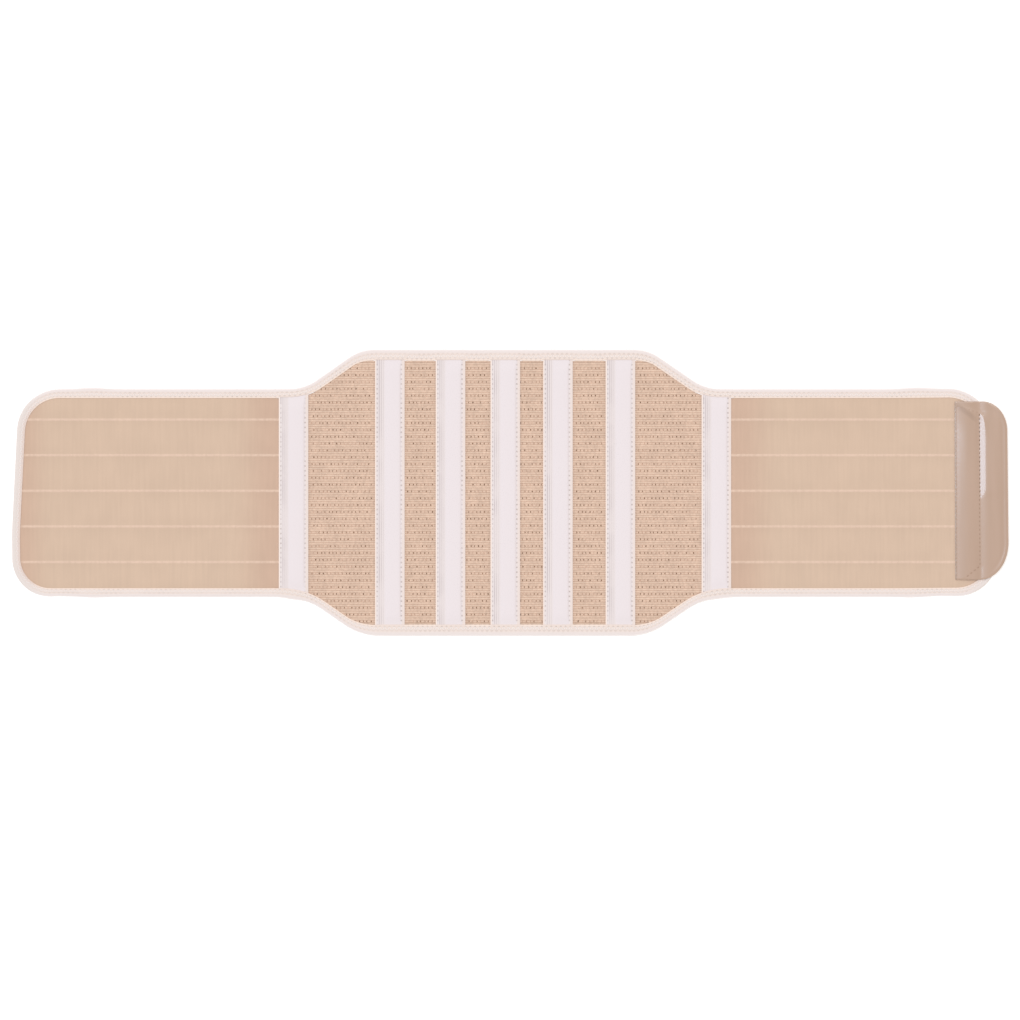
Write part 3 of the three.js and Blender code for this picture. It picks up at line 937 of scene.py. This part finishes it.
# Closure tab: smooth glossy tape, sewn down in a box and rolled up beside the seam
tab = {
    "sewnX": (391.35 * mm, 392.1 * mm),     # sewn edge at its upper and lower end
    "freeX": (436.7 * mm, 438.3 * mm),
    "length": 46.2 * mm,
    "sections": [       # mm from the sewn edge: underside, upper face where it rolls up, and lower down
        (0.0, 2.5, 3.05, 3.05), (0.6, 2.5, 3.2, 3.2), (1.6, 2.6, 3.31, 3.3),
        (3.5, 2.7, 3.605, 3.562), (5, 2.8, 3.827, 3.75), (6.5, 2.9, 4.04, 3.925),
        (8, 3.1, 4.247, 4.095), (9.5, 3.3, 4.435, 4.24), (11, 3.35, 4.59, 4.36),
        (13, 3.35, 4.71, 4.44), (15, 3.35, 4.71, 4.45), (17.5, 3.35, 4.51, 4.37),
        (19.6, 3.35, 4.09, 4.19), (20.6, 3.35, 3.88, 4.07), (21.1, 3.35, 3.84, 4.04),
        (21.5, 3.37, 3.85, 4.045), (22, 3.4, 3.91, 4.075), (22.6, 3.45, 4.03, 4.14),
        (23.4, 3.5, 4.22, 4.25), (24.6, 3.55, 4.51, 4.41), (25.6, 3.65, 4.735, 4.54),
        (26.4, 3.7, 4.895, 4.64), (27, 3.75, 4.99, 4.705), (27.6, 3.8, 5.065, 4.765),
        (28.6, 3.8, 5.17, 4.845), (30, 3.8, 5.26, 4.92), (32.5, 3.75, 5.34, 5.0),
        (35, 3.6, 5.36, 5.02), (38, 3.45, 5.28, 5.0), (41, 3.35, 5.1, 4.95),
        (43.5, 3.3, 5.0, 4.9), (46.2, 3.3, 4.95, 4.85),
    ],
    "blur": [-0.5 * mm, -0.25 * mm, 0, 0.25 * mm, 0.5 * mm],
    "cornerTop": (21.8 * mm, 25.3 * mm),    # rounding along and across the belt
    "cornerLow": (25.3 * mm, 32.7 * mm),
    "columnStep": 0.4 * mm,
    "edgeColumns": (2 * mm, 12),            # finer columns at the free edge: over what width, how many
    "rowCount": 230,
    "rowCrowd": 0.3,                        # how much the rows crowd towards both ends
    "leastThick": 0.4 * mm,
    "roll": (-7 * mm, 3 * mm),              # where the roll begins and is full
    "rollFrom": 22.6 * mm,
    "rollWidths": (-0.16, 0.04),            # how much wider it is at its top and further down
    "rollEnd": [(-0.2 * mm, 6.3 * mm), (-2.6 * mm, -28.6 * mm)],    # its top, beside the seam and past it
    "slope": (-50 * mm, 58 * mm),           # where the sewn part begins to slope more
    "fades": {                              # from where to where each part of the shape comes in
        "free": (24 * mm, 31 * mm),                 # along the tab
        "rollSide": (16.5 * mm, 19.5 * mm),
        "rollAlong": (36 * mm, 28 * mm),
        "spread": (23 * mm, 33 * mm),
        "lessDrop": (28 * mm, 46 * mm),
        "sewn": (25.3 * mm, 20.3 * mm),
        "ridge": (30 * mm, 24 * mm),
        "rim": (28 * mm, 38 * mm),
        "rollDown": (66 * mm, 46 * mm),             # up the tab
        "slopeTop": (-4 * mm, -26 * mm),            # from the upper seam
        "dents": (0, -2 * mm),
    },
    "rim": [(2.0 * mm, 0.9 * mm, 0.15 * mm), (4.6 * mm, 1.2 * mm, -0.13 * mm)],
    "edgeRound": (0.14 * mm, 1.2 * mm),     # how far its edges bend down, and over what width
    "seamIn": 21.3 * mm,
    "seamTop": (76.8 * mm, -0.347),         # upper seam: height at the sewn edge, fall for each mm along
    "seamStop": 26 * mm,
    "seamLow": (-81 * mm, -63.8 * mm),
    "seamLowTo": 9 * mm,
    "seamHalf": 1.8 * mm,                   # the cloth bends down over this much on either side
    "seamBeside": 0.4 * mm,                 # the dark stitches lie this far past the upright seam
    "hemIn": 0.9 * mm,
    "hemEnds": (2 * mm, 1 * mm),            # its stitches stop before the lower end and the upper seam
    "drop": 0.3 * mm,                       # step down outside the upper seam
    "dropTo": 3.2 * mm,
    "dropLess": 0.5,                        # share of it that is lost towards the free edge
    "dropLow": 0.08 * mm,
    "spread": 6 * mm,                       # past the seam the step runs out more gently
    "ridge": (0.05 * mm, 1.6 * mm),         # height and half width of the fold over the upper seam
    "stitches": 36,             # along the upright seam
    "stitchSpan": (0.26, 0.48),     # where in its pitch one begins, and how much of it is thread
    "stitchLift": 0.05 * mm,
    "darkFrom": 16,             # stitches from its foot to where the darker thread begins
    "pucker": (0.15 * mm, 0.6 * mm, 0.8 * mm),      # their dents: depth, place past the seam, half width
    "puckerLow": 0.1,           # share of that depth below the roll
    "height": 155 * mm,
    "troughLine": (-0.78, 77.8 * mm),       # shade under the upper seam: fall for each mm along, height
    "troughHalf": (4.4 * mm, 0.4 * mm),
    "troughAlong": [(1 * mm, 3 * mm), (21 * mm, 14 * mm)],
    # painted shade along the sewn edge
    "sewnEdgeShade": (1.7 * mm, 1.1 * mm),
    "grain": {"cloud": 9 * mm, "pore": 1.2 * mm},
    "drawn": (1.0, 0.1, 1.0),               # the clouds are drawn out across the belt
    "cloudSpan": (0.3, 0.75),
    "bump": (0.3, 0.05 * mm),
    "colours": {"face": "#B79883", "sheen": "#BC9D89", "trough": "#AC8E7A", "sewnEdgeShade": "#A88B77"},
    "finish": {"Roughness": 0.35, "Coat Weight": 1.0, "Coat Roughness": 0.15, "Coat IOR": 1.64},
}


def tabHalf(t, along, top):
    low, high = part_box("closure_tab")
    reach, height = t["cornerTop"] if top else t["cornerLow"]
    past = np.clip((along - t["length"] + reach) / reach, 0, 1)
    drop = height * (1 - np.sqrt(1 - past ** 2))
    return high.y - drop if top else low.y + drop


def tabX(t, along, y):              # both edges lean a little
    low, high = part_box("closure_tab")
    up = (y - low.y) / (high.y - low.y)
    sewn, free = [foot + (top - foot) * up for top, foot in (t["sewnX"], t["freeX"])]
    return sewn + (free - sewn) * along / t["length"]


def tabEdgeIn(t, along, y):         # distance in from the free edges
    low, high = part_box("closure_tab")
    edgeIn = np.minimum(np.minimum(high.y - y, y - low.y), t["length"] - along)
    for (reach, height), past in ((t["cornerTop"], y - high.y), (t["cornerLow"], low.y - y)):
        dx = np.maximum(along - t["length"] + reach, 0) / reach
        dy = np.maximum(past + height, 0) / height
        radius = (reach * dx + height * dy) / np.maximum(dx + dy, 1e-6)
        edgeIn = np.where((dx > 0) & (dy > 0), (1 - np.hypot(dx, dy)) * radius, edgeIn)
    return edgeIn


def tabSeamTop(t, along):
    return t["seamTop"][0] + t["seamTop"][1] * np.minimum(along, t["seamStop"])


def tabFace(t, along, y):           # height of the upper face over the table
    rows, fades, half = np.array(t["sections"]) * mm, t["fades"], t["seamHalf"]
    above = y - tabSeamTop(t, along)
    free = ease(*fades["free"], along)
    atTop, further = t["rollWidths"]
    wider = 1 + (atTop + (further - atTop) * ease(*fades["rollDown"], y)) * ease(*fades["rollAlong"], along)
    rolling = np.where(along > t["rollFrom"], t["rollFrom"] + (along - t["rollFrom"]) / wider, along)
    rolled = sum(np.interp(rolling + d, rows[:, 0], rows[:, 2]) for d in t["blur"]) / len(t["blur"])
    level = sum(np.interp(along + d, rows[:, 0], rows[:, 3]) for d in t["blur"]) / len(t["blur"])
    endFrom, endTo = [beside + (past - beside) * free for beside, past in t["rollEnd"]]
    roll = ease(*t["roll"], y) * ease(endFrom, endTo, above)
    slope = ease(*t["slope"], y) * ease(*fades["slopeTop"], above)
    face = level + (rolled - level) * (slope + (roll - slope) * ease(*fades["rollSide"], along))
    pitch = (tabSeamTop(t, t["seamIn"]) - t["seamLow"][1]) / t["stitches"]
    depth, beside, width = t["pucker"]
    dents = 0.5 - 0.5 * np.cos(2 * math.pi * (y - t["seamLow"][1]) / pitch)
    deeper = t["puckerLow"] + (1 - t["puckerLow"]) * ease(*t["roll"], y)
    dents = dents * deeper * ease(*fades["dents"], above)
    face = face - depth * dents * np.exp(-((along - t["seamIn"] - beside) / width) ** 2)
    spread = t["spread"] * ease(*fades["spread"], along)
    drop = t["drop"] * (1 - t["dropLess"] * ease(*fades["lessDrop"], along))
    face = face - drop * ease(-half - spread, t["dropTo"] + spread, above)
    height, width = t["ridge"]
    face = face + height * ease(*fades["ridge"], along) * np.exp(-((above + half) / width) ** 2)
    seamLow = np.interp(along, [0, t["seamIn"]], t["seamLow"])
    face = face - t["dropLow"] * ease(*fades["sewn"], along) * ease(-half, half, seamLow - y)
    edgeIn = tabEdgeIn(t, along, y)
    for at, width, height in t["rim"]:
        face = face + ease(*fades["rim"], along) * height * np.exp(-((edgeIn - at) / width) ** 2)
    depth, width = t["edgeRound"]
    return face - depth * ease(width, 0, edgeIn)


def makeTab(t):
    length = t["length"]
    band, count = t["edgeColumns"]
    along = np.arange(0, length - band, t["columnStep"])
    along = np.concatenate([along, length - band * (1 - np.sin(np.linspace(0, math.pi / 2, count)))])
    even = np.linspace(0, 1, t["rowCount"])
    share = even + t["rowCrowd"] * (0.5 - 0.5 * np.cos(math.pi * even) - even)
    yTop, yLow = tabHalf(t, along, True), tabHalf(t, along, False)
    y = yLow[None, :] + share[:, None] * (yTop - yLow)[None, :]
    along = np.broadcast_to(along, y.shape)
    x = tabX(t, along, y)
    face = tabFace(t, along, y)
    rows = np.array(t["sections"]) * mm
    under = np.minimum(np.interp(along, rows[:, 0], rows[:, 1]), face - t["leastThick"])
    sides = []
    for name, z in (("closure_tab_back", under), ("closure_tab_tape", face)):
        side = addGrid(name, x.shape[1] - 1, x.shape[0] - 1)
        placeCoords(side, np.column_stack([x.ravel(), y.ravel(), z.ravel()]))
        sides.append(side)
    pick(*sides)
    bpy.ops.object.join()
    bpy.ops.object.mode_set(mode="EDIT")
    bpy.ops.mesh.select_mode(type="EDGE")
    bpy.ops.mesh.select_all(action="DESELECT")
    bpy.ops.mesh.select_non_manifold(extend=False, use_boundary=True, use_wire=False, use_multi_face=False,
                                     use_non_contiguous=False, use_verts=False)
    bpy.ops.mesh.bridge_edge_loops()
    bpy.ops.object.mode_set(mode="OBJECT")
    piece = sides[1]
    turnOut(piece)
    smooth(piece, 60)
    return piece


def tabMaterial(t):
    # Smooth coated hook tape: even nylon face with a soft gloss and slight cloudiness, painted shade under
    # the upper seam and along the sewn edge
    material, add, sockets, tint = newMaterial("coated nylon tape", t)
    place = add("TexCoord").outputs["Object"]
    x, y, _ = add("SeparateXYZ", place).outputs
    drawn = add("VectorMath", place, t["drawn"], **times)
    clouds = add("TexNoise", drawn, 1 / t["grain"]["cloud"], 2.0)
    pores = add("TexNoise", place, 1 / t["grain"]["pore"], 2.0)
    top, foot = t["sewnX"]
    along = add("Math", x, add("Math", y, (top - foot) / t["height"], (top + foot) / 2, **timesPlus), **minus)
    line = add("Math", along, *t["troughLine"], **timesPlus)
    below = add("Math", add("Math", y, line, **minus), **absolute)
    trough = product(add, add("MapRange", below, *t["troughHalf"], **soft),
                     *[add("MapRange", along, *span, **soft) for span in t["troughAlong"]])
    tone = layered(
        add,
        tint["face"],
        (add("MapRange", clouds, *t["cloudSpan"], **soft), tint["sheen"]),
        (trough, tint["trough"]),
        # painted shade along the sewn edge
        (add("MapRange", along, *t["sewnEdgeShade"], **soft), tint["sewnEdgeShade"]),
    )
    plug(tone, sockets["Base Color"])
    plug(add("Bump", *t["bump"], None, pores), sockets["Normal"])
    return material


closureTab = makeTab(tab)
finishPiece(closureTab, tabMaterial(tab), "closure_tab")
print("tab", len(closureTab.data.polygons), "faces")


# Seams: one stitch is modelled and copied along each seam as a joined mesh
stitch = {
    "sides": 6,
    "rings": 6,
    "width": 0.5 * mm,
    "height": 0.36 * mm,
    "sink": 0.02 * mm,
    "gap": 0.9 * mm,
    "wide": 1.5,                # thicker thread of the zigzag and the tab
    "twist": 0.5 * mm,
    "twistShade": (0.92, 1.0),
    "colours": {"pale": "#F8F0EE", "brown": "#82644F", "dun": "#A88A76", "tan": "#BC9F8A"},
    "finish": {"Roughness": 0.75},
}


def oneStitch(s):
    bpy.ops.object.select_all(action="DESELECT")
    bpy.ops.mesh.primitive_uv_sphere_add(segments=s["sides"], ring_count=s["rings"], radius=0.5)
    piece = bpy.context.object
    turned = coordsOf(piece)[:, [2, 0, 1]]      # long way of the stitch along X
    faces = [tuple(f.vertices) for f in piece.data.polygons]
    bpy.data.objects.remove(piece)
    return turned, faces


def sew(name, starts, ends, material, below=False, wide=1):
    shape, faces = oneStitch(stitch)
    run = ends - starts
    length = np.linalg.norm(run, axis=1)
    ahead = run / length[:, None]
    up = np.tile([0.0, 0.0, -1.0 if below else 1.0], (len(run), 1))
    side = np.cross(up, ahead)
    side /= np.linalg.norm(side, axis=1)[:, None]
    up = np.cross(ahead, side)
    middle = (starts + ends) / 2 - up * stitch["sink"]
    points = (middle[:, None, :] + shape[None, :, :1] * run[:, None, :]
              + shape[None, :, 1:2] * stitch["width"] * wide * side[:, None, :]
              + shape[None, :, 2:3] * stitch["height"] * up[:, None, :])
    count = len(shape)
    allFaces = [tuple(v + i * count for v in f) for i in range(len(run)) for f in faces]
    data = bpy.data.meshes.new(name)
    data.from_pydata(points.reshape(-1, 3).tolist(), [], allFaces)
    piece = bpy.data.objects.new(name, data)
    bpy.context.scene.collection.objects.link(piece)
    turnOut(piece)
    bpy.ops.object.shade_smooth()
    finishPiece(piece, material)
    return piece


def threadMaterial(name, colour):
    # Spun polyester thread: matt, with the twist of its plies
    material, add, sockets, tint = newMaterial(name, stitch)
    twist = add("TexNoise", add("TexCoord").outputs["Object"], 1 / stitch["twist"])
    shade = add("MapRange", twist, *noiseSpan, *stitch["twistShade"], **soft)
    plug(add("VectorMath", tint[colour][:3], shade, operation="SCALE"), sockets["Base Color"])
    return material


def zigzagSeam(thread):
    phase = np.arange(edge["count"]) % zigzag["perPitch"]
    lift, width = liftOverCasings(binding), faceWidth(binding)
    points = []
    for row, wanted in (("outerRow", 0), ("innerRow", 2)):
        share, lifted = zigzag[row], zigzag["lifts"][row]
        at = np.flatnonzero(phase == wanted)
        spot = edge["spot"][at] + edge["inward"][at] * (width[at] * share)[:, None]
        points.append(np.column_stack([spot, zigzag["faceZ"] + lift[at] * lifted]))
    outer, inner = points
    starts = np.concatenate([outer, inner])
    ends = np.concatenate([inner, np.roll(outer, -1, axis=0)])
    flat = np.array([1, 1, 0])
    under = np.array([0, 0, zigzag["backZ"]])
    wide = stitch["wide"]
    return [
        sew("binding_zigzag_face", starts, ends, thread, wide=wide),
        sew("binding_zigzag_back", starts * flat + under, ends * flat + under, thread, True, wide),
    ]


def casingSeams(c, thread):
    starts, ends = [], []
    z = c["low"] + c["stitchLift"]
    for low, _ in casingSpans:
        for row in c["stitchRows"]:
            x = low + row
            first = edgeAt(x, False, 1.0) / c["stitchPitch"]
            last = edgeAt(x, True, 1.0) / c["stitchPitch"]
            for i in range(math.ceil(first + c["stitchClear"]), math.floor(last - c["stitchClear"])):
                y0 = (i + 0.5) * c["stitchPitch"] + stitch["gap"] / 2
                starts.append((x, y0 - c["stitchPitch"], z))
                ends.append((x, y0 - stitch["gap"], z))
    sew("casing_stitches", np.array(starts), np.array(ends), thread)


def tabSeamRuns(t, brown, dun, tan):
    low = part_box("closure_tab")[0].y
    inner, outer = t["seamIn"], t["hemIn"]
    beside = inner + t["seamBeside"]
    top, foot = tabSeamTop(t, inner), t["seamLow"][1]
    fall = (foot - t["seamLow"][0]) / inner
    pitch = (top - foot) / t["stitches"]
    middle = foot + t["darkFrom"] * pitch
    lowEnd = (t["seamLowTo"], foot - (inner - t["seamLowTo"]) * fall)
    hemLow, hemTop = low + t["hemEnds"][0], t["seamTop"][0] - t["hemEnds"][1]
    runs = [
        ("tab_seam_stitches", brown, [(beside, top), (beside, middle)]),
        ("tab_lower_stitches", dun, [(inner, middle), (inner, foot), lowEnd]),
        ("tab_edge_stitches", tan, [(outer, hemLow), (outer, hemTop), (inner, top)]),
    ]
    begin, span = t["stitchSpan"]
    pieces = []
    for name, colour, spots in runs:
        starts, ends = [], []
        for (a0, y0), (a1, y1) in zip(spots, spots[1:]):
            run = np.array([a1 - a0, y1 - y0])
            count = round(np.linalg.norm(run) / pitch)
            first = np.array([a0, y0]) + run * ((np.arange(count) + begin) / count)[:, None]
            last = first + run * span / count
            for (along, y), into in ((first.T, starts), (last.T, ends)):
                into.append(np.column_stack([tabX(t, along, y), y, tabFace(t, along, y) + t["stitchLift"]]))
        starts, ends = np.concatenate(starts), np.concatenate(ends)
        pieces.append(sew(name, starts, ends, colour, wide=stitch["wide"]))
    return pieces


thread = threadMaterial("spun polyester thread", "pale")
zigzagStitches = zigzagSeam(thread)
casingSeams(casing, thread)
tabStitches = tabSeamRuns(tab, threadMaterial("brown polyester thread", "brown"),
                          threadMaterial("dun polyester thread", "dun"),
                          threadMaterial("tan polyester thread", "tan"))
print("seams sewn")

bpy.data.objects.remove(cutter)


# Table and light
studio = {
    "world": (0.756, 0.72, 0.675),
    "board": {                  # painted light: it glows of itself, so it stays white where the brace's edge shades it
        "size": 24,
        "colours": {"white": "#FDFDFD"},
        "finish": {"Roughness": 1, "Specular IOR Level": 0, "Emission Color": (1, 1, 1, 1),
                   "Emission Strength": 0.22},
    },
    "key": {"towards": (-0.40, 0.12, 1.0), "angle": 24, "strength": 0.62, "tint": (0.8, 1.0, 1.25)},
    "fill": {"towards": (0.1, 0.56, 1.0), "angle": 30, "strength": 0.54, "tint": (1.0, 1.0, 1.0)},
}


def makeStudio(s):
    bpy.ops.object.select_all(action="DESELECT")
    bpy.ops.mesh.primitive_plane_add(size=s["board"]["size"], location=(0, 0, 0))
    table = bpy.context.object
    table.name = "table"
    material, _, sockets, tint = newMaterial("matt white board", s["board"])
    plug(tint["white"], sockets["Base Color"])
    table.data.materials.append(material)
    world = bpy.data.worlds.new("studio")
    world.use_nodes = True
    world.node_tree.nodes["Background"].inputs[0].default_value = (*s["world"], 1)
    bpy.context.scene.world = world
    for name in ("key", "fill"):
        light = s[name]
        bpy.ops.object.light_add(type="SUN", location=[3 * v for v in light["towards"]])
        lamp = bpy.context.object
        lamp.name = name
        lamp.data.energy = light["strength"]
        lamp.data.color = light["tint"]
        lamp.data.angle = math.radians(light["angle"])
        lamp.rotation_euler = (-lamp.location).to_track_quat("-Z", "Y").to_euler()
    bpy.context.scene.view_settings.view_transform = "Standard"


makeStudio(studio)
print("studio lit")
